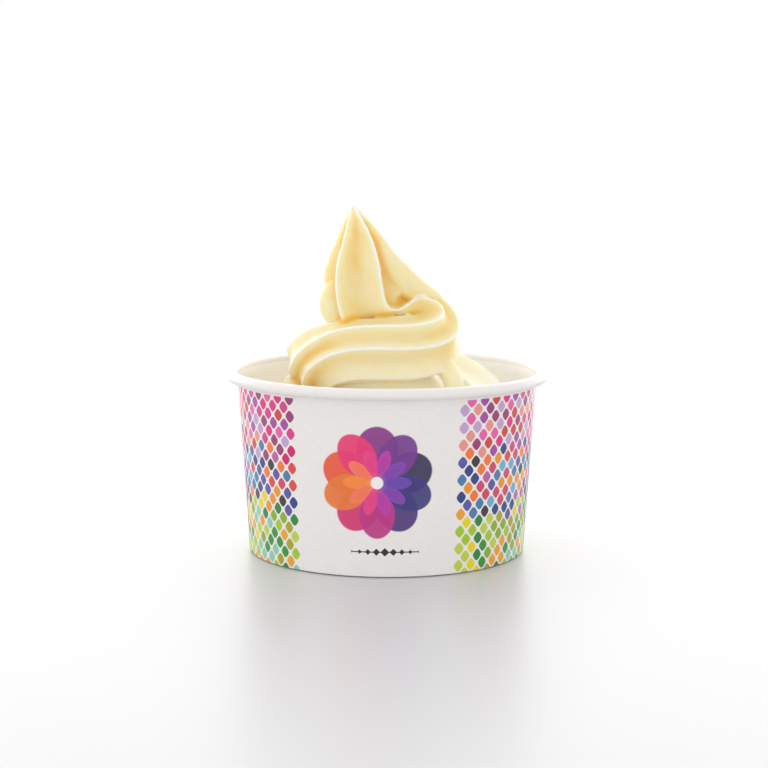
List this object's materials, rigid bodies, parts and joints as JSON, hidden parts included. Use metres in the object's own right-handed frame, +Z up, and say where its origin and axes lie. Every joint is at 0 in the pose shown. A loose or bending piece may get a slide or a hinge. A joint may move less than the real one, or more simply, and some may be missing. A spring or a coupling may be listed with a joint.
{
  "type": "frozen yogurt cup",
  "caption": "Round paper dessert tub with a rolled rim, filled with a piped soft-serve swirl that folds over and is drawn up to a leaning peak.",
  "frame": {"origin": "middle of the cup's footprint, on the surface it stands on", "axes": "+Z up along the cup's axis; the plain front panel faces -Y, so +X is to the right of someone looking at it"},
  "size_m": [0.096, 0.096, 0.1035],
  "materials": {
    "printed_paper": "coated white paperboard, satin, printed outside",
    "plain_paper": "coated white paperboard, matte",
    "yogurt": "creamy pale butter yellow, soft satin"
  },
  "bodies": {
    "root": {"cup_wall": "printed_paper", "cup_base": "plain_paper", "frozen_yogurt": "yogurt"}
  },
  "joints": []
}
